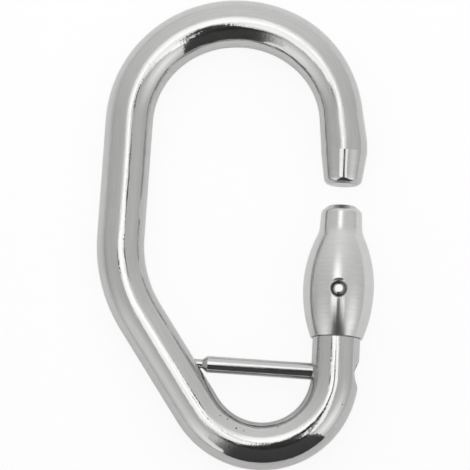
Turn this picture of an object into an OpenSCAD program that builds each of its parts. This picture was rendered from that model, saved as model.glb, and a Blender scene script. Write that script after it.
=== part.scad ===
// Strap carabiner bent from one round steel bar. A turned sleeve slides on a guide that is
// turned on the bar's leg, and shuts against the bar's nose. A cross pin in a slot limits the
// slide, a coil spring in the sleeve's neck pushes it shut, and a screwed bar below keeps the
// strap in place.
// The carabiner lies flat: Z is up, the gate side is on the right and Y runs along it.

/* [Bar and its bends] */
// Thickness of the round bar
bar_d = 10; // [9:0.25:11]
// Lean of the gate side to the right, in degrees
gate_lean = 2.5; // [0:0.5:6]
// Radius of the first foot bend, below the leg
heel_r = 15.6; // [14:0.1:18]
// Turn of the first foot bend, in degrees
heel_angle = 49; // [44:0.5:54]
// Radius of the middle foot bend
sole_r = 15.1; // [13:0.1:18]
// Turn of the middle foot bend, in degrees
sole_angle = 50.5; // [46:0.5:54]
// Radius of the last foot bend, before the slanted flank
toe_r = 16.1; // [14:0.1:18]
// Turn of the last foot bend, in degrees
toe_angle = 46.5; // [43:0.5:51]
// Radius of the knee between the flank and the spine
knee_r = 28.8; // [22:0.1:34]
// Turn of the knee, in degrees
knee_angle = 35.5; // [32:0.5:39]
// Radius of the bend from the spine into the top arch
shoulder_r = 22.1; // [20:0.1:25]
// Turn of the bend from the spine, in degrees
shoulder_angle = 58.5; // [54:0.5:63]
// Radius of the top arch's middle
crown_r = 23.5; // [21:0.1:26]
// Turn of the top arch's middle, in degrees
crown_angle = 53.5; // [49:0.5:58]
// Radius of the top arch's last bend
brow_r = 21.2; // [19:0.1:24]
// Turn of the top arch's last bend, in degrees
brow_angle = 58.5; // [54:0.5:62]
// How much thinner the bending left the bar where the top arch ends
arch_thinning = 0.75; // [0:0.05:1]
// Straight stretch after the top arch
brow_straight = 5.8; // [4:0.1:8]
// Radius of the slack bend above the nose
nose_bend_r = 17.5; // [14:0.5:24]
// How much thinner the bar is where the nose starts
nose_thinning = 0.25; // [0:0.05:0.5]

/* [Nose] */
// Length of the nose's taper
nose_len = 7; // [5:0.1:9]
// Thickness of the taper's thin end
nose_tip_d = 7.74; // [6.8:0.02:8.6]
// Rounding of the nose's end
nose_round = 1.4; // [0.8:0.1:2]

/* [Gate sleeve] */
// Bare leg between the foot bend and the sleeve's rim, gate open
leg_show = 8.1; // [7:0.1:12]
// Gap between the sleeve's end and the nose, gate open
gate_gap = 4.5; // [3.5:0.1:5.4]
// Length of the bulged barrel, to the corner where it would meet the neck
barrel_len = 22.45; // [21:0.05:25]
// Height of the barrel's fattest ring above its rim
bulge_at = 10.45; // [9:0.05:12]
// Wall of the barrel at its fattest ring
bulge_wall = 2.61; // [2:0.01:3.5]
// Wall of the barrel at its rim
rim_wall = 0.6; // [0.3:0.01:0.9]
// Radius of the soft blend that fills the corner between barrel and neck
blend_r = 5; // [2:0.5:7]
// Length of the neck beyond that corner
neck_len = 5.7; // [5:0.1:7]
// Thickness of the neck at that corner
neck_foot_d = 9.1; // [8.6:0.02:9.8]
// Thickness of the neck below its bevel
neck_top_d = 8.54; // [8:0.02:9]
// Width of the flat end
neck_flat_d = 5.6; // [4.6:0.1:6]
// Height of the bevel round the flat end
neck_bevel = 1.25; // [0.9:0.05:1.8]
// Rounding of the bevel's two edges
bevel_round = 1; // [0.3:0.05:1.1]
// Metal left between the spring bore and the flat end
neck_end_wall = 2.7; // [2:0.1:3]
// Running clearance between the guide and the sleeve, all round
gate_fit = 0.05; // [0.03:0.01:0.1]

/* [Guide turned on the leg] */
// Depth that is turned off the bar for the guide that the sleeve slides on
guide_cut = 0.2; // [0.1:0.05:0.5]
// Space between the sleeve's rim and the leg's shoulder, gate open
rim_gap = 0.05; // [0.02:0.01:0.2]
// Chamfer of the guide's top edge
guide_chamfer = 0.5; // [0.2:0.1:1]
// Space above the guide inside the sleeve, gate open
guide_stop = 0.5; // [0.3:0.1:0.8]

/* [Cross pin and its slot] */
// Thickness of the cross pin
pin_d = 3; // [2:0.1:3.6]
// Height of the pin above the sleeve's rim
pin_at = 9.65; // [8.5:0.05:10.5]
// Depth of the pin's ends below the barrel's skin
pin_recess = 0.15; // [0.05:0.05:0.5]
// Chamfer of the pin's ends
pin_chamfer = 0.7; // [0.1:0.05:0.9]
// Mouth of the countersink round each end of the pin
pin_sink_d = 4.36; // [4:0.02:5]
// Clearance between the pin and its slot in the guide
slot_play = 0.05; // [0.03:0.01:0.1]
// Metal left on the guide above the slot
guide_above_slot = 2.4; // [1.6:0.1:2.8]
// Space left between the sleeve and the nose, gate shut
gate_play = 0.05; // [0.02:0.01:0.1]

/* [Return spring] */
// Bore in the neck that holds the spring
spring_bore_d = 6.4; // [5.6:0.1:6.8]
// Thickness of the spring's wire
wire_d = 0.55; // [0.4:0.05:0.6]
// Turns of the spring that work
working_turns = 6; // [4:1:7]
// Clearance between the spring and its bore, all round
spring_play = 0.15; // [0.05:0.05:0.3]

/* [Strap bar] */
// Thickness of the strap bar
strap_bar_d = 3.5; // [3:0.1:4]
// Height of the strap bar above the first foot bend
strap_at = 0.7; // [0:0.1:2]
// Slope of the strap bar beyond square to the leg, in degrees
strap_tilt = 1.5; // [0:0.25:4]
// Thickness of the thin end that is screwed into the flank
spigot_d = 1.9; // [1.5:0.1:2.4]
// Length of the thin end that shows before the flank
spigot_show = 1.1; // [0.8:0.1:2]
// Depth of the thin end in the flank
spigot_depth = 6.5; // [5:0.1:8]
// Length of the slanted shoulder between bar and thin end
shoulder_len = 1.05; // [0.6:0.05:1.6]
// Width of the screw head
head_d = 5.5; // [4.8:0.1:6.2]
// Height of the screw head
head_h = 1.9; // [1.5:0.1:2.1]
// Depth of the head's seat below the leg's skin
head_seat = 3; // [2.6:0.1:3.6]
// Clearance round the head in its counterbore
head_play = 0.15; // [0.05:0.05:0.3]
// Width of the driver slot
driver_slot_w = 0.9; // [0.6:0.1:1.2]
// Depth of the driver slot
driver_slot_depth = 0.8; // [0.5:0.1:1]

/* [Hidden] */
$fn = 96;

steel = "#c3c6c9";
spring_steel = "#9a9da1";

// Cutters reach this far past the skin that they open
overcut = 1;
// The bent bar is a swept skin with this many sides, and a ring at least this often, in degrees
bar_sides = 40;
ring_angle = 5;
round_steps = 6;
arc_sides = 720;
// Pieces that are pressed or screwed together keep this much apart
close_fit = 0.01;
screw_fit = 0.03;
edge_break = 0.3;
drill_point = 0.5;

// The gate's own frame: origin where the leg meets the first foot bend, Y up the leg
bar_r = bar_d / 2;
guide_r = bar_r - guide_cut;
bore_r = guide_r + gate_fit;
bulge_r = bore_r + bulge_wall;
rim_r = bore_r + rim_wall;
neck_foot_r = neck_foot_d / 2;
arch_end_r = bar_r - arch_thinning / 2;
nose_foot_r = bar_r - nose_thinning / 2;
tip_r = nose_tip_d / 2;
sleeve_len = barrel_len + neck_len;
sleeve_top = leg_show + sleeve_len;
gate_side = sleeve_top + gate_gap + nose_len;
travel = gate_gap - gate_play;

// Direction of the bar after it has turned by t degrees, and the way to its bend centre
function ahead(t) = [-sin(t), -cos(t)];
function side(t) = [-cos(t), sin(t)];
function cross2(a, b) = a.x * b.y - a.y * b.x;

// The bends in order from the leg: straight stretch before it, radius, turn
foot_angle = heel_angle + sole_angle + toe_angle;
spine_angle = foot_angle + knee_angle;
nose_angle = 360 - spine_angle - shoulder_angle - crown_angle - brow_angle;
function bends_with(flank, spine) = [
    [0, heel_r, heel_angle],
    [0, sole_r, sole_angle],
    [0, toe_r, toe_angle],
    [flank, knee_r, knee_angle],
    [spine, shoulder_r, shoulder_angle],
    [0, crown_r, crown_angle],
    [0, brow_r, brow_angle],
    [brow_straight, nose_bend_r, nose_angle]
];

// Where the bar is once it has turned by t degrees
function at_turn(rows, t, i = 0, p = [0, 0], from = 0) =
    let (q = p + rows[i][0] * ahead(from))
    let (last = i == len(rows) - 1 || t <= from + rows[i][2])
    let (to = last ? t : from + rows[i][2])
    let (e = q + rows[i][1] * (side(from) - side(to)))
    last ? e : at_turn(rows, t, i + 1, e, to);

// Flank and spine are as long as it takes to bring the bar back onto the gate's axis
miss = [0, gate_side] - at_turn(bends_with(0, 0), 360);
flank_way = ahead(foot_angle);
spine_way = ahead(spine_angle);
flank_len = cross2(miss, spine_way) / cross2(flank_way, spine_way);
spine_len = cross2(flank_way, miss) / cross2(flank_way, spine_way);
bends = bends_with(flank_len, spine_len);

// Barrel outline: one arc from the rim to the bulge, one from the bulge to the neck
function bow_r(run, rise) = (run * run + rise * rise) / (2 * rise);
low_arc_r = bow_r(bulge_at, bulge_r - rim_r);
high_arc_r = bow_r(barrel_len - bulge_at, bulge_r - neck_foot_r);
function barrel_r(h) =
    let (r = h < bulge_at ? low_arc_r : high_arc_r)
    bulge_r - r + sqrt(r * r - (h - bulge_at) * (h - bulge_at));

// Blend arc that touches the neck's side and the barrel's upper arc from outside
neck_foot = [neck_foot_r, barrel_len];
neck_edge = [neck_top_d / 2, sleeve_len - neck_bevel];
neck_way = unit(neck_edge - neck_foot);
neck_out = [neck_way.y, -neck_way.x];
high_arc_middle = [bulge_r - high_arc_r, bulge_at];
corner_middle = neck_foot + blend_r * neck_out;
corner_reach = corner_middle - high_arc_middle;
corner_rise = corner_reach * neck_way;
corner_square = corner_rise * corner_rise - corner_reach * corner_reach;
blend_rise = sqrt(corner_square + pow(high_arc_r + blend_r, 2)) - corner_rise;
blend_middle = corner_middle + blend_rise * neck_way;
function way_angle(v) = atan2(v.y, v.x);
blend_from = way_angle(blend_middle - high_arc_middle);
blend_to = way_angle(neck_out);
blend_outline = [for (k = [0 : round_steps])
    let (t = blend_from + (blend_to - blend_from) * k / round_steps)
    blend_middle - blend_r * [cos(t), sin(t)]];

// Guide, slot and bores inside the sleeve, measured from its rim
pin_r = pin_d / 2;
slot_r = pin_r + slot_play;
guide_in_sleeve = pin_at + travel + slot_r + guide_above_slot;
bore_len = guide_in_sleeve + guide_stop;
spring_bore_end = sleeve_len - neck_end_wall;
pin_half = barrel_r(pin_at) - pin_recess;
sink_depth = pin_sink_d / 2 - pin_r - close_fit;

// Spring: one closed turn at each end, working turns between them
end_pitch = wire_d + 2 * close_fit;
spring_r = spring_bore_d / 2 - spring_play - wire_d / 2;
spring_len = spring_bore_end - guide_in_sleeve - 2 * close_fit;
working_pitch = (spring_len - wire_d - 2 * end_pitch) / working_turns;
all_turns = working_turns + 2;
wire_sides = 8;
rings_a_turn = 20;

// Strap bar: its axis runs from the leg's axis to the near skin of the flank
strap_way = [-cos(strap_tilt), sin(strap_tilt)];
flank_start = at_turn(bends, foot_angle);
flank_sine = abs(cross2(strap_way, flank_way));
strap_to_flank_axis = cross2(flank_start - [0, strap_at], flank_way) / cross2(strap_way, flank_way);
strap_to_flank = strap_to_flank_axis - bar_r / flank_sine;
head_floor = head_seat - bar_r;
spigot_from = strap_to_flank - spigot_show;
spigot_to = strap_to_flank + spigot_depth;
strap_r = strap_bar_d / 2;
spigot_r = spigot_d / 2;
head_r = head_d / 2;

// Lean the gate's frame, then set the middle of the outline at the origin
function leaned(p) = [
    p.x * cos(gate_lean) + p.y * sin(gate_lean),
    p.y * cos(gate_lean) - p.x * sin(gate_lean)
];
bulge_reach = leaned([bulge_r - high_arc_r, leg_show + bulge_at]).x + high_arc_r;
nose_reach = leaned(at_turn(bends, 360 - gate_lean)).x + nose_foot_r;
right = max(bulge_reach, nose_reach);
left = leaned(at_turn(bends, 180 - gate_lean)).x - bar_r;
top = leaned(at_turn(bends, 270 - gate_lean)).y + bar_r;
bottom = leaned(at_turn(bends, 90 - gate_lean)).y - bar_r;

module in_place() {
    translate([-(left + right) / 2, -(top + bottom) / 2, bulge_r])
        rotate([0, 0, -gate_lean])
            children();
}

// Turn a piece's own Z axis along the leg, from height s on it
module along_leg(s) {
    translate([0, s, 0])
        rotate([-90, 0, 0])
            children();
}

// Turn a piece's own Z axis along the strap bar, towards the flank
module along_strap() {
    translate([0, strap_at, 0])
        rotate([0, 0, -strap_tilt])
            rotate([0, -90, 0])
                children();
}

// Points of the arc that rounds corner b, between neighbours a and c
function unit(v) = v / norm(v);
function rounded(a, b, c, r, steps) =
    let (u = unit(a - b))
    let (v = unit(c - b))
    let (half = acos(u * v) / 2)
    let (m = b + unit(u + v) * r / sin(half))
    let (p = b + u * r / tan(half) - m)
    let (way = sign(cross2(v, u)))
    [for (k = [0 : steps])
        let (t = way * k * (180 - 2 * half) / steps)
        m + [p.x * cos(t) - p.y * sin(t), p.x * sin(t) + p.y * cos(t)]];

// Radius of the bar part of the way through bend i. The arch's last bend draws it thinner,
// and it is thicker again where the nose's bend starts.
arch_end = len(bends) - 2;
function eased(part) = part * part * (3 - 2 * part);
function ring_r(i, part) =
    i < arch_end ? bar_r :
    i == arch_end ? bar_r + (arch_end_r - bar_r) * eased(part) :
    nose_foot_r;

// Rings of the swept bar, each a point on its axis, its turn so far and its radius
function bend_rings(i, p, from) =
    let (start = p + bends[i][0] * ahead(from))
    let (turn = bends[i][2])
    let (steps = ceil(turn / ring_angle))
    let (first = i == 0 || bends[i][0] > 0 ? 0 : 1)
    [for (k = [first : steps])
        let (t = from + turn * k / steps)
        [start + bends[i][1] * (side(from) - side(t)), t, ring_r(i, k / steps)]];

function all_bend_rings(i = 0, p = [0, 0], from = 0) =
    i == len(bends) ? [] :
    let (rings = bend_rings(i, p, from))
    concat(rings, all_bend_rings(i + 1, rings[len(rings) - 1][0], from + bends[i][2]));

// Nose outline as radius and distance from the end: a taper, a round edge and a flat end
nose_outline = rounded([nose_foot_r, nose_len], [tip_r, 0], [0, 0], nose_round, round_steps);
nose_rings = [for (q = nose_outline) [[0, sleeve_top + gate_gap + q.y], 360, q.x]];
shoulder_ring = [[0, leg_show - rim_gap], 0, bar_r];
bar_rings = concat([shoulder_ring], all_bend_rings(), nose_rings);

// Skin of a tube through rings of points, closed at both ends
module swept_tube(points, sides) {
    last = len(points) - sides;
    skin = [for (ring = [0 : sides : last - sides]) for (k = [0 : sides - 1])
        let (a = ring + k)
        let (b = ring + (k + 1) % sides)
        for (face = [[a, b, b + sides], [a, b + sides, a + sides]]) face];
    first_end = [for (k = [1 : sides - 2]) [0, k + 1, k]];
    last_end = [for (k = [1 : sides - 2]) [last, last + k, last + k + 1]];
    polyhedron(points, concat(skin, first_end, last_end));
}

module bar() {
    swept_tube([for (ring = bar_rings) for (k = [0 : bar_sides - 1])
        let (around = 360 * k / bar_sides)
        let (p = ring[0] + ring[2] * cos(around) * side(ring[1]))
        [p.x, p.y, ring[2] * sin(around)]], bar_sides);
}

// The guide starts inside the bar and ends in the sleeve
module guide() {
    guide_end = guide_in_sleeve + overcut;
    along_leg(leg_show - overcut)
        rotate_extrude()
            polygon([
                [0, 0],
                [guide_r, 0],
                [guide_r, guide_end - guide_chamfer],
                [guide_r - guide_chamfer, guide_end],
                [0, guide_end]
            ]);
}

// Slot through the guide in which the cross pin slides
module pin_slot() {
    low = leg_show + pin_at;
    slot_h = bar_d + 2 * overcut;
    for (s = [low, low + travel])
        translate([0, s, -slot_h / 2])
            cylinder(h = slot_h, r = slot_r);
    translate([-slot_r, low, -slot_h / 2])
        cube([2 * slot_r, travel, slot_h]);
}

// Holes that the strap bar goes through: counterbore, leg hole and blind flank hole
module strap_holes() {
    along_strap() {
        translate([0, 0, -bar_r - overcut])
            cylinder(h = bar_r + overcut + head_floor, r = head_r + head_play);
        translate([0, 0, head_floor - overcut])
            cylinder(h = bar_r + overcut - head_floor + overcut, r = strap_r + screw_fit);
        translate([0, 0, strap_to_flank - overcut])
            cylinder(h = overcut + spigot_depth + drill_point, r = spigot_r + screw_fit);
    }
}

module bent_bar() {
    color(steel)
        in_place()
            difference() {
                union() {
                    bar();
                    guide();
                }
                pin_slot();
                strap_holes();
            }
}

// One half of the barrel's outline, filled in to the axis
module barrel_half(arc_r, from, to) {
    intersection() {
        translate([bulge_r - arc_r, bulge_at])
            circle(r = arc_r, $fn = arc_sides);
        translate([0, from])
            square([bulge_r + overcut, to - from]);
    }
}

// The neck's outline starts with the blend, where that leaves the barrel
module neck_outline() {
    rim = [neck_flat_d / 2, sleeve_len];
    middle = [0, sleeve_len];
    polygon(concat(
        [[0, blend_outline[0].y]],
        blend_outline,
        rounded(neck_foot, neck_edge, rim, bevel_round, round_steps),
        rounded(neck_edge, rim, middle, bevel_round, round_steps),
        [middle]
    ));
}

module gate_sleeve() {
    color(steel)
        in_place()
            along_leg(leg_show)
                difference() {
                    rotate_extrude()
                        difference() {
                            union() {
                                barrel_half(low_arc_r, 0, bulge_at);
                                barrel_half(high_arc_r, bulge_at, barrel_len);
                                neck_outline();
                            }
                            translate([0, -overcut])
                                square([bore_r, bore_len + overcut]);
                            square([spring_bore_d / 2, spring_bore_end]);
                        }
                    translate([0, 0, pin_at])
                        rotate([90, 0, 0]) {
                            cylinder(h = 2 * bulge_r + 2 * overcut, r = pin_r + close_fit, center = true);
                            pin_sink();
                            mirror([0, 0, 1])
                                pin_sink();
                        }
                }
}

// Right-angled countersink round one end of the pin
module pin_sink() {
    translate([0, 0, barrel_r(pin_at) - sink_depth])
        cylinder(
            h = sink_depth + overcut,
            r1 = pin_r + close_fit,
            r2 = pin_r + close_fit + sink_depth + overcut
        );
}

module cross_pin() {
    color(steel)
        in_place()
            translate([0, leg_show + pin_at, 0])
                rotate_extrude()
                    polygon([
                        [0, -pin_half],
                        [pin_r - pin_chamfer, -pin_half],
                        [pin_r, pin_chamfer - pin_half],
                        [pin_r, pin_half - pin_chamfer],
                        [pin_r - pin_chamfer, pin_half],
                        [0, pin_half]
                    ]);
}

// Height of the wire's middle after t turns
function coil_rise(t) =
    min(t, 1) * end_pitch
    + min(max(t - 1, 0), working_turns) * working_pitch
    + max(t - 1 - working_turns, 0) * end_pitch;

function wire_point(ring, k) =
    let (turned = 360 * ring / rings_a_turn)
    let (round = 360 * (k + 0.5) / wire_sides)
    let (r = spring_r + wire_d / 2 * cos(round))
    [r * cos(turned), r * sin(turned), coil_rise(ring / rings_a_turn) + wire_d / 2 * sin(round)];

module gate_spring() {
    color(spring_steel)
        in_place()
            along_leg(leg_show + guide_in_sleeve + close_fit)
                translate([0, 0, wire_d / 2])
                    swept_tube([for (ring = [0 : all_turns * rings_a_turn]) for (k = [0 : wire_sides - 1])
                        wire_point(ring, k)], wire_sides);
}

module strap_bar() {
    color(steel)
        in_place()
            along_strap()
                difference() {
                    rotate_extrude()
                        polygon([
                            [0, head_floor - head_h],
                            [head_r - edge_break, head_floor - head_h],
                            [head_r, head_floor - head_h + edge_break],
                            [head_r, head_floor],
                            [strap_r, head_floor],
                            [strap_r, spigot_from - shoulder_len],
                            [spigot_r, spigot_from],
                            [spigot_r, spigot_to - edge_break],
                            [spigot_r - edge_break, spigot_to],
                            [0, spigot_to]
                        ]);
                    translate([-head_d / 2 - overcut, -driver_slot_w / 2, head_floor - head_h - overcut])
                        cube([head_d + 2 * overcut, driver_slot_w, driver_slot_depth + overcut]);
                }
}

bent_bar();
gate_sleeve();
cross_pin();
gate_spring();
strap_bar();
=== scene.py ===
# %% [markdown]
# # A strap carabiner of polished steel
# The carabiner is one round steel bar bent into an open loop, with a sleeve that slides on the
# bar's leg and shuts against its nose, a pin across the sleeve, a spring inside it and a thin bar
# over the foot that keeps a strap in place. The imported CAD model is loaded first, and everything
# else is built round it in the same frame: metres, with the carabiner lying flat and Z pointing
# up. Sizes below are in millimetres unless a line multiplies them by MM, and the studio's are in
# metres.

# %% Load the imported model
import math

import bmesh
import bpy
import numpy as np
from mathutils import Matrix, Vector


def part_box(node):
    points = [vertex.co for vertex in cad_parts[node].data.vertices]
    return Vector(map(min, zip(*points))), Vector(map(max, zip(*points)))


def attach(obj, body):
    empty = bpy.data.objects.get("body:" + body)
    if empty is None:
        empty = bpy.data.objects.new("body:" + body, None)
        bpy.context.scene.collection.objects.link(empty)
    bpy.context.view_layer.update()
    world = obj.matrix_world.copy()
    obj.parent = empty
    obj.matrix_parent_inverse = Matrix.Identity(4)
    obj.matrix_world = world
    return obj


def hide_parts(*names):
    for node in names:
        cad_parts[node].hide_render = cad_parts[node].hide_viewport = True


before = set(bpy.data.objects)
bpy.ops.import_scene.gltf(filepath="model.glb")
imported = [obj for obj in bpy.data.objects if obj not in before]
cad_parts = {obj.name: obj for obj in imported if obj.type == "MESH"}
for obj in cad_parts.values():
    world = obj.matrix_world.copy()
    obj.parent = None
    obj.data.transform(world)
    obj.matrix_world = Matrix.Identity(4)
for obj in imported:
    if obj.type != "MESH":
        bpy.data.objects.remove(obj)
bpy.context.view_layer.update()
scene = bpy.context.scene
MM = 0.001
print("CAD nodes:", ", ".join(sorted(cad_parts)))

# %% [markdown]
# ## Sizes of the bar
# The bar's centre line is a chain of straight stretches and arcs in one plane, as it comes out of
# a bending machine. Each bend is given as the straight stretch before it, its radius and its
# turn. Two of the stretches, the flank and the spine, are left open: they are as long as it takes
# to bring the bar back over the gate, so they come from two small equations and not from a typed
# number. The last bend of the arch drew the bar a little thinner, which shows in the photo, so
# each point of the line also carries the bar's radius there.

# %% The bends, from the leg round the foot to the nose
BAR_R = 5.0
BENDS = (
    ("heel", 0.0, 15.6, 49.0),
    ("sole", 0.0, 15.1, 50.5),
    ("toe", 0.0, 16.1, 46.5),
    ("knee", None, 28.8, 35.5),
    ("shoulder", None, 22.1, 58.5),
    ("crown", 0.0, 23.5, 53.5),
    ("brow", 0.0, 21.2, 58.5),
    ("nose bend", 5.8, 17.5, 8.0),
)
ARCH_END_R = 4.625
NOSE_FOOT_R = 4.875


def ahead(turned):
    """Direction of the bar after it has turned so far: down the leg at first."""
    return np.array([-math.sin(turned), -math.cos(turned)])


def inward(turned):
    """Direction from the bar's axis to the centre of its bends."""
    return np.array([-math.cos(turned), math.sin(turned)])


def bend_thickness(name, part):
    """Radius of the bar part of the way through a bend."""
    eased = part * part * (3 - 2 * part)
    radii = {"brow": BAR_R + (ARCH_END_R - BAR_R) * eased, "nose bend": NOSE_FOOT_R}
    return radii.get(name, BAR_R)


def centre_line(flank, spine, straight_step=1.5, turn_step=2.5):
    """Points along the bar's axis, each with the bar's turn and radius there."""
    open_lengths = {"knee": flank, "shoulder": spine}
    point, turned, thick, line = np.zeros(2), 0.0, BAR_R, []
    for name, straight, radius, turn in BENDS:
        straight = open_lengths.get(name, straight)
        next_thick = bend_thickness(name, 0.0)
        parts = math.ceil(abs(straight) / straight_step)
        for k in range(parts):
            eased = thick + (next_thick - thick) * k / parts
            line.append((point + ahead(turned) * straight * k / parts, turned, eased))
        point = point + ahead(turned) * straight
        parts = math.ceil(turn / turn_step)
        for k in range(parts):
            t = turned + math.radians(turn) * k / parts
            place = point + radius * (inward(turned) - inward(t))
            line.append((place, t, bend_thickness(name, k / parts)))
        end = turned + math.radians(turn)
        point = point + radius * (inward(turned) - inward(end))
        turned, thick = end, bend_thickness(name, 1.0)
    return line + [(point, turned, thick)]


print(len(BENDS), "bends turn the bar by", sum(turn for _, _, _, turn in BENDS), "degrees")

# %% [markdown]
# ## Closing the loop
# The bar starts on the gate's axis, and after a full turn its nose has to end on that axis again,
# above the sleeve and the gap. With the two open stretches at zero, the line misses that place by
# a certain way. The flank and the spine point in two known directions, so the lengths that make
# up for it are the answer to two equations, one for each direction of the plane.

# %% Solve the flank and the spine
LEG_SHOW = 8.1
SLEEVE_LEN = 28.15
GATE_GAP = 4.5
NOSE_LEN = 7.0
nose_tip = LEG_SHOW + SLEEVE_LEN + GATE_GAP
turned_at_flank = math.radians(sum(turn for _, _, _, turn in BENDS[:3]))
turned_at_spine = turned_at_flank + math.radians(BENDS[3][3])
missing = np.array([0.0, nose_tip + NOSE_LEN]) - centre_line(0.0, 0.0)[-1][0]
FLANK, SPINE = np.linalg.solve(
    np.column_stack([ahead(turned_at_flank), ahead(turned_at_spine)]), missing
)
print(f"flank {FLANK:.2f} mm, spine {SPINE:.2f} mm")

# %% [markdown]
# ## Where the gate lies
# The sleeve is a turned piece whose own box says where its middle is. The gate's axis leans a
# little in the carabiner, so a place so many millimetres up the sleeve follows from the middle
# and the lean. The cross pin's place is found in this way, because two finishes and the slot in
# the leg need it.

# %% Places on the gate's axis
LEAN = math.radians(2.5)
PIN_AT = 9.65
low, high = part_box("bent_bar")
sleeve_low, sleeve_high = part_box("gate_sleeve")


def to_gate(up_the_sleeve):
    """Place in the plan, in metres, of a point so far up the sleeve's axis."""
    middle = [(sleeve_low[k] + sleeve_high[k]) / 2 for k in (0, 1)]
    off = (up_the_sleeve - SLEEVE_LEN / 2) * MM
    return (middle[0] + off * math.sin(LEAN), middle[1] + off * math.cos(LEAN), 0.0)


pin_place = to_gate(PIN_AT)
print("pin lies at", [round(c / MM, 2) for c in pin_place], "mm")

# %% [markdown]
# ## Helpers for nodes and colours
# Materials are built from nodes. One function adds any node: it takes the node's type, its
# settings by name and what goes into its inputs, either a value or another node's output. The
# others are short ways to say the steps that come up again and again. Colours are written as the
# hex values that one would read off a screen, and one function turns them into the linear light
# that Blender works with.

# %% Node and colour helpers
WHITE = (1.0, 1.0, 1.0, 1.0)


def linear(hex_colour):
    """Linear RGBA of an sRGB hex colour."""
    parts = [int(hex_colour[k:k + 2], 16) / 255 for k in (1, 3, 5)]
    lit = [c / 12.92 if c <= 0.04045 else ((c + 0.055) / 1.055) ** 2.4 for c in parts]
    return (*lit, 1.0)


def add_node(tree, kind, inputs=None, **settings):
    """Add a node, set its settings, and link or set its inputs by name or number."""
    node = tree.nodes.new(kind)
    for name, value in settings.items():
        setattr(node, name, value)
    for name, value in (inputs or {}).items():
        if isinstance(value, bpy.types.NodeSocket):
            tree.links.new(value, node.inputs[name])
        else:
            node.inputs[name].default_value = value
    return node


def new_material(name):
    """An empty material and its node tree."""
    material = bpy.data.materials.new(name)
    material.use_nodes = True
    material.node_tree.nodes.clear()
    return material, material.node_tree


def surface(tree, shader):
    """Make a shader the material's surface."""
    add_node(tree, "ShaderNodeOutputMaterial", {"Surface": shader.outputs[0]})


def here(tree):
    """The place of the shaded point in its piece's own coordinates, in metres."""
    return add_node(tree, "ShaderNodeTexCoord").outputs["Object"]


def place_in_x(tree):
    """How far to the right the shaded point lies in its piece's own coordinates."""
    return add_node(tree, "ShaderNodeSeparateXYZ", {"Vector": here(tree)}).outputs["X"]


def calc(tree, operation, *values):
    """Result of a sum, product or other step on one to three values."""
    return add_node(
        tree, "ShaderNodeMath", dict(enumerate(values)), operation=operation
    ).outputs[0]


def vector_calc(tree, operation, first, second, output=0):
    """Result of a product, distance or other step on two vectors."""
    return add_node(
        tree, "ShaderNodeVectorMath", {0: first, 1: second}, operation=operation
    ).outputs[output]


def ranged(tree, value, start, end, low=0.0, high=1.0, blend="LINEAR"):
    """Turn the stretch of values from start to end into low to high, and clamp outside it."""
    return add_node(
        tree, "ShaderNodeMapRange",
        {"Value": value, "From Min": start, "From Max": end, "To Min": low, "To Max": high},
        interpolation_type=blend,
    ).outputs["Result"]


def mix_colours(tree, share, first, second):
    """The first colour where the share is 0, the second where it is 1."""
    return add_node(
        tree, "ShaderNodeMix", {0: share, 6: first, 7: second}, data_type="RGBA"
    ).outputs[2]


def noise(tree, place, size, detail, roughness=0.5):
    """Noise whose blobs are about as large as size."""
    return add_node(
        tree, "ShaderNodeTexNoise",
        {"Vector": place, "Scale": 1 / size, "Detail": detail, "Roughness": roughness},
    ).outputs["Fac"]


def round_patch(tree, centre, none_at, full_at, most=1.0, in_plan=False):
    """0 at one distance from a place, rising smoothly to most at another distance."""
    place = here(tree)
    if in_plan:
        place = vector_calc(tree, "MULTIPLY", place, (1, 1, 0))
    away = vector_calc(tree, "DISTANCE", place, centre, "Value")
    return ranged(tree, away, none_at, full_at, 0.0, most, "SMOOTHSTEP")


def highest(tree, values):
    """The largest of many values at each point, and 0 at least."""
    top = 0.0
    for value in values:
        top = calc(tree, "MAXIMUM", top, value)
    return top


print("mid grey #808080 in linear light:", round(linear("#808080")[0], 3))

# %% [markdown]
# ## Polished stainless steel
# Stainless steel reflects a little over half of the light, and almost evenly over all colours, so
# its colour is a plain light grey and the rest of its look is what stands round it. One function
# makes every steel here, because they differ only in how their skin was made. It gives each a
# slightly wavy skin that bends reflections, fine marks that run one way and break their edges up,
# and a roughness that drifts in patches. The marks and the patches also dull the colour by up to
# a tenth. Where spots are dark, old polishing compound sits in the bar's pits, and round the cross
# pin they are painted shade. An edge radius rounds sharp edges off in the shading, so that they
# catch a thin light line.

# %% One recipe for every polished steel
# The dark colour is compound in the bar's pits, and painted shade round the cross pin.
STEEL, COMPOUND_AND_SHADE = "#c9c9c8", "#2e2d2b"
DULLEST = 0.90
WAVE_SIZE, PATCH_SIZE, PEBBLE_SIZE = 7 * MM, 3 * MM, 0.5 * MM
PATCH_SPAN, STREAK_SPAN = (0.35, 0.65), (0.3, 0.7)  # most of a noise's values lie in here
FAINTEST_MARKS = 0.35


def bump(tree, height, depth, normal=None, strength=1.0):
    """Normal of a skin raised by height, on top of another normal if one is given."""
    inputs = {"Height": height, "Strength": strength, "Distance": depth}
    if normal:
        inputs["Normal"] = normal
    return add_node(tree, "ShaderNodeBump", inputs).outputs["Normal"]


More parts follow.
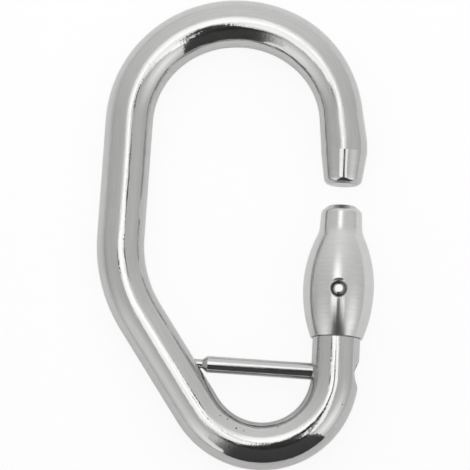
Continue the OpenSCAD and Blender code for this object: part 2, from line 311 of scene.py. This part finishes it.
def polished_steel(
    name, place_on, grain, roughness, wave, grain_depth,
    pebble=0.0, smear=0.0, spots=None, edge=0.0, colour=STEEL,
):
    """Steel with marks as large as grain says; smear stretches reflections along the gate."""
    material, tree = new_material(name)
    place = place_on(tree)
    waves = noise(tree, place, WAVE_SIZE, 1.0, 0.4)
    stretched = vector_calc(tree, "MULTIPLY", place, tuple(1 / (size * MM) for size in grain))
    marks = noise(tree, stretched, 1.0, 1.0)
    patches = noise(tree, place, PATCH_SIZE, 2.0)
    rough = ranged(tree, patches, *PATCH_SPAN, *roughness)
    marked = ranged(tree, patches, *PATCH_SPAN, FAINTEST_MARKS, 1.0)
    normal = None
    if edge:
        normal = add_node(
            tree, "ShaderNodeBevel", {"Radius": edge * MM}, samples=6
        ).outputs[0]
    normal = bump(tree, waves, wave * MM, normal)
    normal = bump(tree, marks, grain_depth * MM, normal, marked)
    if pebble:
        normal = bump(tree, noise(tree, place, PEBBLE_SIZE, 0.0), pebble * MM, normal)
    streaks = ranged(tree, marks, *STREAK_SPAN, 0.0, 0.5)
    cloud = calc(tree, "MULTIPLY_ADD", patches, 0.5, streaks)
    bright = linear(colour)
    dull = tuple(c * DULLEST for c in bright[:3]) + (1.0,)
    tint = mix_colours(tree, cloud, bright, dull)
    # Dark spots: real compound in the bar's pits, painted shade round the cross pin.
    if spots:
        tint = mix_colours(tree, spots(tree), tint, linear(COMPOUND_AND_SHADE))
    inputs = {"Base Color": tint, "Metallic": 1.0, "Roughness": rough, "Normal": normal}
    if smear:
        inputs["Anisotropic"] = smear
        inputs["Tangent"] = add_node(
            tree, "ShaderNodeCombineXYZ", {"X": math.sin(LEAN), "Y": math.cos(LEAN), "Z": 0.0}
        ).outputs[0]
    surface(tree, add_node(tree, "ShaderNodeBsdfPrincipled", inputs))
    return material


print("steel reflects", round(linear(STEEL)[0], 2), "of the light")

# %% [markdown]
# ## The bar's steel
# The bar looks ground along its length, polished and then tumbled with small stones. Grinding
# leaves fine lines along the bar. They are drawn 0.3 mm wide, coarser than the real ones, since
# finer ones wouldn't show, and they fray the edge of every dark band. Tumbling lets the
# reflections swim a little. A few pits were too deep to polish out, and dark compound stays in
# them.

# %% Ground and tumbled bar
PIT_EDGE = 0.12
PITS = (
    ((-3.1, -39.1, 11.8), 0.08), ((-1.6, -39.8, 11.5), 0.10), ((0.2, -41.8, 12.0), 0.12),
    ((1.8, -42.3, 12.0), 0.06), ((8.9, -41.4, 11.3), 0.08), ((-18.2, -29.0, 9.6), 0.08),
    ((22.4, -36.7, 11.5), 0.06),
)


def along_the_bar(tree):
    """Distance along the bar and place in its cross-section, stored on the mesh."""
    return add_node(tree, "ShaderNodeAttribute", attribute_name="bar_way").outputs["Vector"]


def pits(tree):
    """1 in a pit, 0 away from it."""
    return highest(tree, [
        round_patch(tree, Vector(place) * MM, (radius + PIT_EDGE) * MM, radius * MM)
        for place, radius in PITS
    ])


bar_steel = polished_steel(
    "ground_and_tumbled_stainless", along_the_bar, grain=(5, 0.3, 0.3), roughness=(0.06, 0.10),
    wave=0.03, grain_depth=0.016, pebble=0.007, spots=pits,
)
print(bar_steel.name, "with", len(PITS), "pits")

# %% [markdown]
# ## The nose's and the sleeve's steel
# Both look turned on a lathe and buffed, so their marks run round them. Such marks smear a
# reflection along the axis and keep it sharp across, which carries the lamp's white line over the
# barrel. The shader's anisotropy does the smear on the sleeve, and a faint ring pattern 0.3 mm
# wide shows the marks, which are finer than that on the real piece. The dark ring in the corner
# between the cross pin and its countersink is painted shade: the colour is darkened there for the
# shadowed gap and its dark reflection.

# %% Turned and buffed nose and sleeve
# Painted shade: the sleeve's colour darkens inside this radius round the pin, for the shadowed gap
# and its dark reflection.
CORNER_SHADE_R, CORNER_SHADE_EDGE, CORNER_SHADE_SHARE = 1.56, 0.1, 0.75


def across_the_gate(tree):
    """The piece's own place, turned so that Y runs along the gate's axis."""
    return add_node(
        tree, "ShaderNodeMapping", {"Vector": here(tree), "Rotation": (0, 0, LEAN)}
    ).outputs["Vector"]


def pin_corner_shade(tree):
    """Painted shade: dark in the corner between the cross pin and its countersink."""
    return round_patch(
        tree, pin_place, (CORNER_SHADE_R + CORNER_SHADE_EDGE) * MM, CORNER_SHADE_R * MM, CORNER_SHADE_SHARE, in_plan=True
    )


nose_steel = polished_steel(
    "ring_ground_stainless", across_the_gate, grain=(3, 0.3, 3), roughness=(0.10, 0.14),
    wave=0.02, grain_depth=0.012,
)
sleeve_steel = polished_steel(
    "turned_and_buffed_stainless", across_the_gate, grain=(3, 0.3, 3), roughness=(0.18, 0.22),
    wave=0.02, grain_depth=0.006, smear=0.9, edge=0.2, spots=pin_corner_shade, colour="#d7d7d6",
)
print(nose_steel.name, "and", sleeve_steel.name)

# %% [markdown]
# ## The small parts' steels
# The cross pin is ground stock, cut to length and faced, so its end is smooth, and its chamfer is
# darkened with painted shade for its dark reflection. The strap bar is a turned screw with fine
# rings round it. The spring is drawn wire, dull from the die's soap, with marks along the wire.

# %% Pin, screw and spring wire
# Painted shade: the pin's colour darkens outside its flat end, on the chamfer.
PIN_FLAT_R, CHAMFER_DARK_R, CHAMFER_SHARE = 1.05, 1.2, 0.6


def pin_chamfer_shade(tree):
    """Painted shade: dark on the pin's chamfer, clear on its flat end."""
    return round_patch(
        tree, pin_place, PIN_FLAT_R * MM, CHAMFER_DARK_R * MM, CHAMFER_SHARE, in_plan=True
    )


pin_steel = polished_steel(
    "faced_pin_steel", across_the_gate, grain=(0.4, 0.4, 3), roughness=(0.06, 0.12),
    wave=0.01, grain_depth=0.001, spots=pin_chamfer_shade,
)
screw_steel = polished_steel(
    "turned_screw_stainless", across_the_gate, grain=(0.3, 3, 3), roughness=(0.08, 0.14),
    wave=0.01, grain_depth=0.006, edge=0.1,
)
wire_steel = polished_steel(
    "drawn_spring_wire", across_the_gate, grain=(2, 0.2, 0.2), roughness=(0.30, 0.42),
    wave=0.01, grain_depth=0.004,
)
print(", ".join(steel.name for steel in (pin_steel, screw_steel, wire_steel)))

# %% [markdown]
# ## The bar as a swept skin
# The CAD model's bar is a skin of 40 sides, which is fine for its shape. A mirror finish shows
# each side of it, though, so the visible bar is swept again here with 96 sides and a ring every
# 2.5 degrees. It starts in the sleeve with the thinner guide, and ends in the nose's taper and
# round edge.

# %% Rings along the bar
GUIDE_R = 4.8
GUIDE_TOP = 26.15
GUIDE_CHAMFER = 0.5
RIM_GAP = 0.05
RIM_CHAMFER = 0.1
NOSE_TIP_R = 3.87
NOSE_ROUND = 1.4
TAPER_RINGS = 5
GUIDE_RINGS = (8.0, 4.0)  # up the guide from the sleeve's rim
LEG_RINGS = (6.0, 4.5, 3.0, 1.5)  # up the leg from the heel


def nose_profile(steps=10):
    """Radius and distance from the end: the taper, then the flat end's round edge."""
    foot = np.array([NOSE_FOOT_R, NOSE_LEN])
    taper = foot - [NOSE_TIP_R, 0.0]
    up_the_taper = taper / np.linalg.norm(taper)
    half = math.acos(-up_the_taper[0]) / 2
    to_corner = NOSE_ROUND / math.tan(half)
    corner = np.array([NOSE_TIP_R, 0.0])
    middle = np.array([NOSE_TIP_R - to_corner, NOSE_ROUND])
    start = corner + up_the_taper * to_corner - middle
    first = math.atan2(start[1], start[0])
    angles = [first + (-math.pi / 2 - first) * k / steps for k in range(steps + 1)]
    arc = [middle + NOSE_ROUND * np.array([math.cos(a), math.sin(a)]) for a in angles]
    straight = [foot + (arc[0] - foot) * k / TAPER_RINGS for k in range(1, TAPER_RINGS)]
    return straight + arc


shoulder_at = LEG_SHOW - RIM_GAP
leg_rings = [(GUIDE_TOP, GUIDE_R - GUIDE_CHAMFER), (GUIDE_TOP - GUIDE_CHAMFER, GUIDE_R)]
leg_rings += [(LEG_SHOW + up, GUIDE_R) for up in GUIDE_RINGS]
leg_rings += [(shoulder_at, GUIDE_R), (shoulder_at, BAR_R - RIM_CHAMFER)]
leg_rings += [(shoulder_at - RIM_CHAMFER, BAR_R)]
leg_rings += [(up, BAR_R) for up in LEG_RINGS]
rings = [(np.array([0.0, y]), 0.0, r) for y, r in leg_rings]
rings += centre_line(FLANK, SPINE)
rings += [(np.array([0.0, nose_tip + y]), 2 * math.pi, r) for r, y in nose_profile()]
print(len(rings), "rings")

# %% [markdown]
# ## Skin between the rings
# A tube needs the same number of points on each ring and a four-sided face between each two
# points and the two behind them. Each end is closed by one flat face. The finished skin is moved
# so that its box has the middle of the CAD bar's box, so both lie in one place to a hundredth of
# a millimetre.

# %% Sweep the bar
SIDES = 96


def leaned(p):
    """From the gate's own frame to one that leans with the carabiner."""
    return np.array([
        p[0] * math.cos(LEAN) + p[1] * math.sin(LEAN),
        p[1] * math.cos(LEAN) - p[0] * math.sin(LEAN),
    ])


def add_piece(name, data):
    """An object for a mesh, light or camera, put into the scene."""
    piece = bpy.data.objects.new(name, data)
    scene.collection.objects.link(piece)
    return piece


def sweep(name, rings):
    """A tube through rings of points, closed at both ends."""
    verts, faces = [], []
    for p, turned, radius in rings:
        for k in range(SIDES):
            round_it = 2 * math.pi * k / SIDES
            flat = p + radius * math.cos(round_it) * inward(turned)
            verts.append((*(leaned(flat) * MM), radius * math.sin(round_it) * MM))
    for ring in range(len(rings) - 1):
        for k in range(SIDES):
            a, b = ring * SIDES + k, ring * SIDES + (k + 1) % SIDES
            faces.append((a, b, b + SIDES, a + SIDES))
    last = (len(rings) - 1) * SIDES
    faces.append(tuple(reversed(range(SIDES))))
    faces.append(tuple(last + k for k in range(SIDES)))
    mesh = bpy.data.meshes.new(name)
    mesh.from_pydata(verts, [], faces)
    mesh.update()
    return add_piece(name, mesh)


def outward(mesh, tool):
    """Write a mesh back from its tool with all faces turned outward."""
    bmesh.ops.recalc_face_normals(tool, faces=tool.faces)
    tool.to_mesh(mesh)
    tool.free()


bar = sweep("bar", rings)
points = np.array([v.co for v in bar.data.vertices])
shift = (np.array(low) + np.array(high)) / 2 - (points.min(0) + points.max(0)) / 2
bar.data.transform(Matrix.Translation(Vector(shift)))
tool = bmesh.new()
tool.from_mesh(bar.data)
outward(bar.data, tool)
print("bar:", len(bar.data.vertices), "points, moved by", (shift / MM).round(3), "mm")

# %% [markdown]
# ## Holes in the bar
# The strap bar is a screw. It goes through a hole across the leg, with a wider counterbore for
# its head, and its thin end sits in a blind hole in the flank. The cross pin slides in a slot
# through the guide. A maker would drill them after bending, and they are cut last here too: each
# is a cylinder that is taken away, and three cylinders side by side make the slot.

# %% Cutters for the slot and the strap bar
PIN_SLOT_R = 1.55
TRAVEL = 4.45
STRAP_AT = 0.7
STRAP_TILT = math.radians(1.5)
HEAD_FLOOR = -2.0
COUNTERBORE_R = 2.9
STRAP_HOLE_R = 1.78
SPIGOT_HOLE_R = 0.98
SPIGOT_DEPTH = 7.0
OVERCUT = 1.0
HOLE_OVERLAP = 0.5
HOLE_SIDES, SLOT_SIDES = 64, 48
gate_frame = (
    Matrix.Translation(Vector(shift)) @ Matrix.Rotation(-LEAN, 4, "Z") @ Matrix.Scale(MM, 4)
)


def cylinder(name, radius, start, end, matrix, sides=HOLE_SIDES):
    """A closed cylinder along its matrix's Z axis, from start to end."""
    mesh = bpy.data.meshes.new(name)
    tool = bmesh.new()
    bmesh.ops.create_cone(
        tool, cap_ends=True, segments=sides, radius1=radius, radius2=radius, depth=end - start,
        matrix=matrix @ Matrix.Translation((0, 0, (start + end) / 2)),
    )
    outward(mesh, tool)
    return add_piece(name, mesh)


def cross(a, b):
    """Cross product of two plan directions."""
    return a[0] * b[1] - a[1] * b[0]


along_strap = (
    gate_frame @ Matrix.Translation((0, STRAP_AT, 0))
    @ Matrix.Rotation(-STRAP_TILT, 4, "Z") @ Matrix.Rotation(-math.pi / 2, 4, "Y")
)
strap_way = np.array([-math.cos(STRAP_TILT), math.sin(STRAP_TILT)])
flank_way = ahead(turned_at_flank)
flank_from = next(p for p, t, _ in rings if abs(t - turned_at_flank) < 1e-9)
slant = cross(strap_way, flank_way)
to_flank = cross(flank_from - [0, STRAP_AT], flank_way) / slant - BAR_R / abs(slant)
cutters = [
    cylinder("counterbore", COUNTERBORE_R, -BAR_R - OVERCUT, HEAD_FLOOR, along_strap),
    cylinder(
        "strap_hole", STRAP_HOLE_R, HEAD_FLOOR - HOLE_OVERLAP, BAR_R + OVERCUT, along_strap
    ),
    cylinder(
        "spigot_hole", SPIGOT_HOLE_R, to_flank - OVERCUT, to_flank + SPIGOT_DEPTH, along_strap
    ),
]
for slid in (0, TRAVEL / 2, TRAVEL):
    pin_axis = gate_frame @ Matrix.Translation((0, LEG_SHOW + PIN_AT + slid, 0))
    cutters.append(cylinder(
        "slot_cut", PIN_SLOT_R, -BAR_R - OVERCUT, BAR_R + OVERCUT, pin_axis, SLOT_SIDES
    ))
print(f"strap bar meets the flank's skin after {to_flank:.2f} mm")

# %% [markdown]
# ## Cutting
# A boolean modifier takes each cutter away. Then the result is made the bar's mesh, because the
# next steps work on the finished skin, and the cutters are thrown away.

# %% Cut them out
for cutter in cutters:
    cut = bar.modifiers.new(cutter.name, "BOOLEAN")
    cut.operation = "DIFFERENCE"
    cut.solver = "EXACT"
    cut.object = cutter
bpy.context.view_layer.update()
cut_mesh = bpy.data.meshes.new_from_object(
    bar.evaluated_get(bpy.context.evaluated_depsgraph_get())
)
bar.modifiers.clear()
bar.data = cut_mesh
for cutter in cutters:
    bpy.data.objects.remove(cutter)
print("bar after cutting:", len(bar.data.vertices), "points,", len(bar.data.polygons), "faces")

# %% [markdown]
# ## The bar's own coordinates
# Polishing marks follow the bar round its bends, so the material needs to know how far along the
# bar each point lies and where it is in the cross-section. That is worked out once from the
# centre line and stored on the mesh, and the material reads it as an attribute.

# %% Store the way along the bar
axis_line = np.array([leaned(p) * MM for p, _, _ in rings]) + shift[:2]
axis_turn = [turned for _, turned, _ in rings]
steps = np.linalg.norm(np.diff(axis_line, axis=0), axis=1)
axis_way = np.concatenate([[0.0], np.cumsum(steps)])
way = np.zeros((len(bar.data.vertices), 3))
for k, vertex in enumerate(bar.data.vertices):
    p = np.array(vertex.co)
    nearest = int(np.argmin(((axis_line - p[:2]) ** 2).sum(1)))
    off = p[:2] - axis_line[nearest]
    forward = leaned(ahead(axis_turn[nearest]))
    sideways = leaned(inward(axis_turn[nearest]))
    way[k] = (axis_way[nearest] + off @ forward, off @ sideways, p[2] - shift[2])
attribute = bar.data.attributes.new("bar_way", "FLOAT_VECTOR", "POINT")
attribute.data.foreach_set("vector", way.astype(np.float32).ravel())
print("bar is", round(axis_way[-1] / MM, 1), "mm long")

# %% [markdown]
# ## Shading and slots of the bar
# The bar is shaded smooth, with its drilled edges kept sharp. The nose was turned after the
# bending, so its faces take the second finish, and the ring where the taper starts stays a crisp
# edge. Then the bar is hung under the bow's empty so that it moves with the bow, the CAD bar is
# hidden, and the bar has its material slots.

# %% Smooth shading, and the nose's own finish
NOSE_SLOT = 1
SHARP_ANGLE = math.radians(30)
RING_TOLERANCE = 0.02 * MM
nose_way = axis_way[-1] - NOSE_LEN * MM
bar.data.materials.clear()
bar.data.materials.append(bar_steel)
bar.data.materials.append(nose_steel)
for face in bar.data.polygons:
    face.use_smooth = True
    if min(way[k][0] for k in face.vertices) > nose_way - 1e-6:
        face.material_index = NOSE_SLOT
bar.data.set_sharp_from_angle(angle=SHARP_ANGLE)
for edge in bar.data.edges:
    if all(abs(way[k][0] - nose_way) < RING_TOLERANCE for k in edge.vertices):
        edge.use_edge_sharp = True
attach(bar, "bow")
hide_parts("bent_bar")
on_nose = sum(face.material_index == NOSE_SLOT for face in bar.data.polygons)
print(on_nose, "faces on the nose")

# %% [markdown]
# ## The pieces that stay as the CAD made them
# The sleeve, the pin, the strap bar and the spring are turned or wound pieces, and their CAD
# meshes are fine enough to be seen. Each only gets its finish.

# %% Finishes for the CAD nodes that stay
FINISHES = {
    "gate_sleeve": sleeve_steel, "cross_pin": pin_steel,
    "strap_bar": screw_steel, "gate_spring": wire_steel,
}
for node, steel in FINISHES.items():
    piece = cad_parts[node]
    piece.data.materials.clear()
    piece.data.materials.append(steel)
    print(node, "gets", steel.name)

# %% [markdown]
# ## Floor
# The carabiner lies on a plain white surface. The sleeve's belly is wider than the bar, so the
# real thing rests on the belly and on the spine and tips by three degrees. The CAD frame keeps it
# level, so the floor takes the tip instead. The paper glows for the camera alone, which makes the
# background white without more light on the steel. A share of it stays lit paper, so it keeps the
# faint shadow, and reflections see the true paper with the dark line under the bar. Left of the
# carabiner the paper's colour turns a little greyer: that is a painted shadow beside the spine,
# which the reflections along the spine's outer side see.

# %% White floor under the belly and the spine
BELLY_X = 21.8
FLOOR_SIZE = 3.0
PAPER_GLOW = 0.90
SHADE_FROM, SHADE_TO = -0.06, -0.11
spine_x, belly_x = low[0] + BAR_R * MM, BELLY_X * MM
tip_angle = math.atan2(low[2], belly_x - spine_x)
bpy.ops.mesh.primitive_plane_add(size=FLOOR_SIZE)
floor = bpy.context.object
floor.name = "floor"
floor.rotation_euler = (0, tip_angle, 0)
floor.location = (belly_x, 0, 0)
paper, tree = new_material("matt_white_paper")
# Painted shadow: the paper's colour greys toward the left of the carabiner.
to_left = ranged(tree, place_in_x(tree), SHADE_FROM, SHADE_TO)
shade = mix_colours(tree, to_left, linear("#fdfdfd"), linear("#dedede"))
lit_paper = add_node(tree, "ShaderNodeBsdfPrincipled", {"Base Color": shade, "Roughness": 0.9})
seen = add_node(tree, "ShaderNodeLightPath").outputs["Is Camera Ray"]
glow = add_node(tree, "ShaderNodeEmission", {"Color": WHITE, "Strength": 1.0})
surface(tree, add_node(
    tree, "ShaderNodeMixShader",
    {0: calc(tree, "MULTIPLY", seen, PAPER_GLOW), 1: lit_paper.outputs[0], 2: glow.outputs[0]},
))
floor.data.materials.append(paper)
print(f"floor tipped by {math.degrees(tip_angle):.1f} degrees")

# %% [markdown]
# ## Light from the ceiling
# A wide soft lamp over the part lights the paper, whose reflection makes the bar's flanks pale.
# It is hidden from glossy rays, because the shape that the steel shows along its crest is the
# arched lamp's, which is built further down.

# %% Soft ceiling light
CEILING_SIZE, CEILING_WATTS, CEILING_Z = 0.8, 1.1, 0.6
soft = bpy.data.lights.new("ceiling_light", "AREA")
soft.shape = "SQUARE"
soft.size = CEILING_SIZE
soft.energy = CEILING_WATTS
ceiling = add_piece("ceiling_light", soft)
ceiling.location = (0, 0, CEILING_Z)
ceiling.visible_glossy = False
print("ceiling light of", CEILING_WATTS, "W")

# %% [markdown]
# ## Tent
# Polished metal shows its surroundings, so the studio is built for its reflections. Round the
# part stands a pale tent, a little brighter at the back, brightest at its two front corners and a
# touch darker on the left. It is the world's background, as a sum of soft patches: each is as
# bright as the angle to its middle is small, and a higher tightness makes it smaller.

# %% Pale tent with bright corners
TENT_LEVEL = 0.65
BACK = (math.cos(math.radians(88)), math.sin(math.radians(88)), 0.0)
BACK_GLOW, BACK_TIGHTNESS = 0.30, 1.5
CORNERS = ((-129, 22, 0.59, 6.6), (-33, 34, 0.70, 12.0), (-177, 5, -0.12, 30.0))
world = bpy.data.worlds.new("pale_tent")
scene.world = world
world.use_nodes = True
tree = world.node_tree
tree.nodes.clear()
direction = add_node(tree, "ShaderNodeTexCoord").outputs["Generated"]
level_way = vector_calc(tree, "MULTIPLY", direction, (1, 1, 0))
compass = add_node(
    tree, "ShaderNodeVectorMath", {0: level_way}, operation="NORMALIZE"
).outputs[0]


def add_patch(way, centre, tightness, brightness, level):
    """Add a soft bright patch round a direction to the tent's level."""
    facing = calc(tree, "MAXIMUM", vector_calc(tree, "DOT_PRODUCT", way, centre, "Value"), 0.0)
    return calc(tree, "MULTIPLY_ADD", calc(tree, "POWER", facing, tightness), brightness, level)


level = add_patch(compass, BACK, BACK_TIGHTNESS, BACK_GLOW, TENT_LEVEL)
for azimuth, height, brightness, tightness in CORNERS:
    a, e = math.radians(azimuth), math.radians(height)
    centre = (math.cos(a) * math.cos(e), math.sin(a) * math.cos(e), math.sin(e))
    level = add_patch(direction, centre, tightness, brightness, level)
tent = add_node(tree, "ShaderNodeBackground", {"Color": WHITE, "Strength": level})
add_node(tree, "ShaderNodeOutputWorld", {"Surface": tent.outputs[0]})
print("tent level", TENT_LEVEL, "with", len(CORNERS) + 1, "patches")

# %% [markdown]
# ## The arched lamp
# A lamp hangs over the part in an arch that is open to the front, where the camera looks in, and
# its glow draws the white line along the bar's crest. It is a flat card with a material that
# shines where one of a few soft round patches lies, and is clear elsewhere. Soft patches give the
# reflected line soft edges, as a cloth front does. Each patch is given by its place, the
# distances from there at which it is full and gone, and its brightness.

# %% Lamp card
LAMP_Z = 0.34
LAMP_HALF = 0.35
LAMP_GAIN = 0.90
LAMP_PATCHES = (
    (-0.010, 0.116, 0.012, 0.125, 0.85), (-0.004, 0.062, 0.024, 0.050, 1.0),
    (-0.036, 0.016, 0.030, 0.058, 1.0), (-0.045, -0.042, 0.038, 0.068, 1.0),
    (-0.088, -0.045, 0.028, 0.055, 1.0), (-0.075, 0.005, 0.028, 0.054, 1.0),
    (0.048, 0.026, 0.024, 0.042, 1.0), (0.078, -0.018, 0.030, 0.052, 1.0),
    (0.106, -0.068, 0.030, 0.052, 1.0), (0.130, -0.115, 0.026, 0.046, 1.0),
)


def plain_card(name, corners, material):
    """A flat piece of the studio that reflections see and the camera doesn't."""
    mesh = bpy.data.meshes.new(name)
    mesh.from_pydata(corners, [], [tuple(range(len(corners)))])
    card = add_piece(name, mesh)
    card.visible_camera = False
    card.data.materials.append(material)


lamp_cloth, tree = new_material("lamp_cloth")
shine = highest(tree, [
    round_patch(tree, (x, y, LAMP_Z), none_at, full_at, brightness)
    for x, y, full_at, none_at, brightness in LAMP_PATCHES
])
cloth = add_node(
    tree, "ShaderNodeEmission",
    {"Color": WHITE, "Strength": calc(tree, "MULTIPLY", shine, LAMP_GAIN)},
)
clear = add_node(tree, "ShaderNodeBsdfTransparent")
surface(tree, add_node(tree, "ShaderNodeAddShader", {0: cloth.outputs[0], 1: clear.outputs[0]}))
plain_card("arched_lamp", [
    (x * LAMP_HALF, y * LAMP_HALF, LAMP_Z) for x, y in ((-1, 1), (1, 1), (1, -1), (-1, -1))
], lamp_cloth)
print("lamp of", len(LAMP_PATCHES), "patches at", LAMP_Z, "m")

# %% [markdown]
# ## Finishes of the studio's cards
# Black card gives the arches their dark bands. Where a dark band fades away in the photo, the
# card fades too: it gets lighter toward the left, slowly at first. The lit edges are thin strips
# that shine, for the short bright marks beside the foot's dark band.

# %% Black, grey, fading and shining card
FADE_FROM, FADE_TO = -0.040, -0.104
FADE_POWER = 2.0
EDGE_GLOW = 1.3


def matt_card(name, hex_colour, left_colour=None):
    """Rough card of one colour, or one that fades into another toward the left."""
    material, tree = new_material(name)
    colour = linear(hex_colour)
    if left_colour:
        to_left = ranged(tree, place_in_x(tree), FADE_FROM, FADE_TO)
        faded = calc(tree, "POWER", to_left, FADE_POWER)
        colour = mix_colours(tree, faded, colour, linear(left_colour))
    surface(tree, add_node(
        tree, "ShaderNodeBsdfPrincipled", {"Base Color": colour, "Roughness": 1.0}
    ))
    return material


black = matt_card("black_card", "#484848")
dark_grey = matt_card("dark_grey_card", "#707070")
pale_grey = matt_card("pale_grey_card", "#c4c4c4")
fading = matt_card("card_fading_into_light", "#484848", "#f0f0f0")
lit_edge, tree = new_material("lit_edge")
surface(tree, add_node(tree, "ShaderNodeEmission", {"Color": WHITE, "Strength": EDGE_GLOW}))
print("cards:", ", ".join(m.name for m in (black, dark_grey, pale_grey, fading, lit_edge)))

# %% [markdown]
# ## Board, camera arm and clips
# The lamp's arch is open to the front. A black board stands there on the floor, and a black
# camera arm reaches in from it under the lamp. Their mirror images are the dark bands of the foot
# and the top arch. Two small clips at the lamp's ends draw thin dark lines beside the white line.
# A card in the studio is a flat outline, so each is written as a row of corners seen from the
# front or from above.

# %% Standing and hanging cards
BOARD_Y, ROOF_Z = -0.165, 0.33
BELOW_FLOOR = -0.012
STANDING = (
    ("front_board", black, (
        (-0.040, BELOW_FLOOR), (0.160, BELOW_FLOOR), (0.148, ROOF_Z), (-0.040, ROOF_Z),
    )),
    ("side_board", fading, (
        (-0.128, 0.115), (-0.105, 0.085), (-0.082, 0.065), (-0.066, 0.050),
        (-0.066, BELOW_FLOOR), (-0.040, BELOW_FLOOR), (-0.040, ROOF_Z), (-0.128, ROOF_Z),
    )),
    ("bright_foot_of_the_board", lit_edge, (
        (-0.125, 0.030), (-0.070, 0.016), (-0.070, 0.040), (-0.105, 0.055), (-0.130, 0.066),
    )),
)
HANGING = (
    ("camera_arm", black, ROOF_Z, (
        (-0.052, -0.165), (-0.040, -0.128), (-0.014, -0.098), (0.002, -0.055), (0.010, 0.000),
        (0.018, 0.014), (0.025, 0.012), (0.036, 0.002), (0.060, -0.025), (0.085, -0.065),
        (0.110, -0.105), (0.128, -0.145), (0.148, -0.165),
    )),
    ("arm_shade", fading, ROOF_Z, (
        (-0.110, -0.125), (-0.066, -0.114), (-0.036, -0.108), (-0.040, -0.128),
        (-0.052, -0.165), (-0.115, -0.165),
    )),
    ("arm_tip", pale_grey, ROOF_Z, (
        (0.011, 0.012), (0.016, 0.023), (0.029, 0.021), (0.037, 0.004), (0.025, 0.012),
    )),
    ("arm_edge", lit_edge, ROOF_Z - 0.002, (
        (0.046, -0.048), (0.060, -0.046), (0.106, -0.118), (0.090, -0.122),
    )),
    ("left_clip", black, ROOF_Z, (
        (-0.124, 0.026), (-0.086, 0.022), (-0.086, 0.035), (-0.120, 0.042),
    )),
    ("right_clip", dark_grey, ROOF_Z, (
        (0.060, 0.047), (0.080, 0.043), (0.104, 0.050), (0.112, 0.062), (0.092, 0.069),
        (0.066, 0.062),
    )),
)
for name, material, outline in STANDING:
    plain_card(name, [(x, BOARD_Y, z) for x, z in outline], material)
for name, material, height, outline in HANGING:
    plain_card(name, [(x, y, height) for x, y in outline], material)
print(len(STANDING), "standing and", len(HANGING), "hanging cards")

# %% [markdown]
# ## Camera
# The photograph was taken from almost straight above with a long lens: the outline shows no
# widening towards the camera. So the camera stands far off, 81.4 degrees up on the foot's side,
# and its lens is chosen so that the picture's 470 pixels cover 99.2 mm at the bar's axis.

# %% Camera
DISTANCE = 1.5
ELEVATION = math.radians(81.4)
PICTURE_PIXELS, PIXELS_PER_MM = 470, 4.74
SIGHT = (-0.06, -0.18)
target = Vector((SIGHT[0] * MM, SIGHT[1] * MM, low[2] + BAR_R * MM))
lens = bpy.data.cameras.new("long_lens")
lens.sensor_width = 36
lens.lens = lens.sensor_width * DISTANCE / (PICTURE_PIXELS / PIXELS_PER_MM * MM)
camera = add_piece("camera", lens)
camera.location = target + DISTANCE * Vector((0, -math.cos(ELEVATION), math.sin(ELEVATION)))
camera.rotation_euler = (target - camera.location).to_track_quat("-Z", "Y").to_euler()
scene.camera = camera
scene.view_settings.view_transform = "Standard"
print(f"lens of {lens.lens:.0f} mm at {DISTANCE} m")
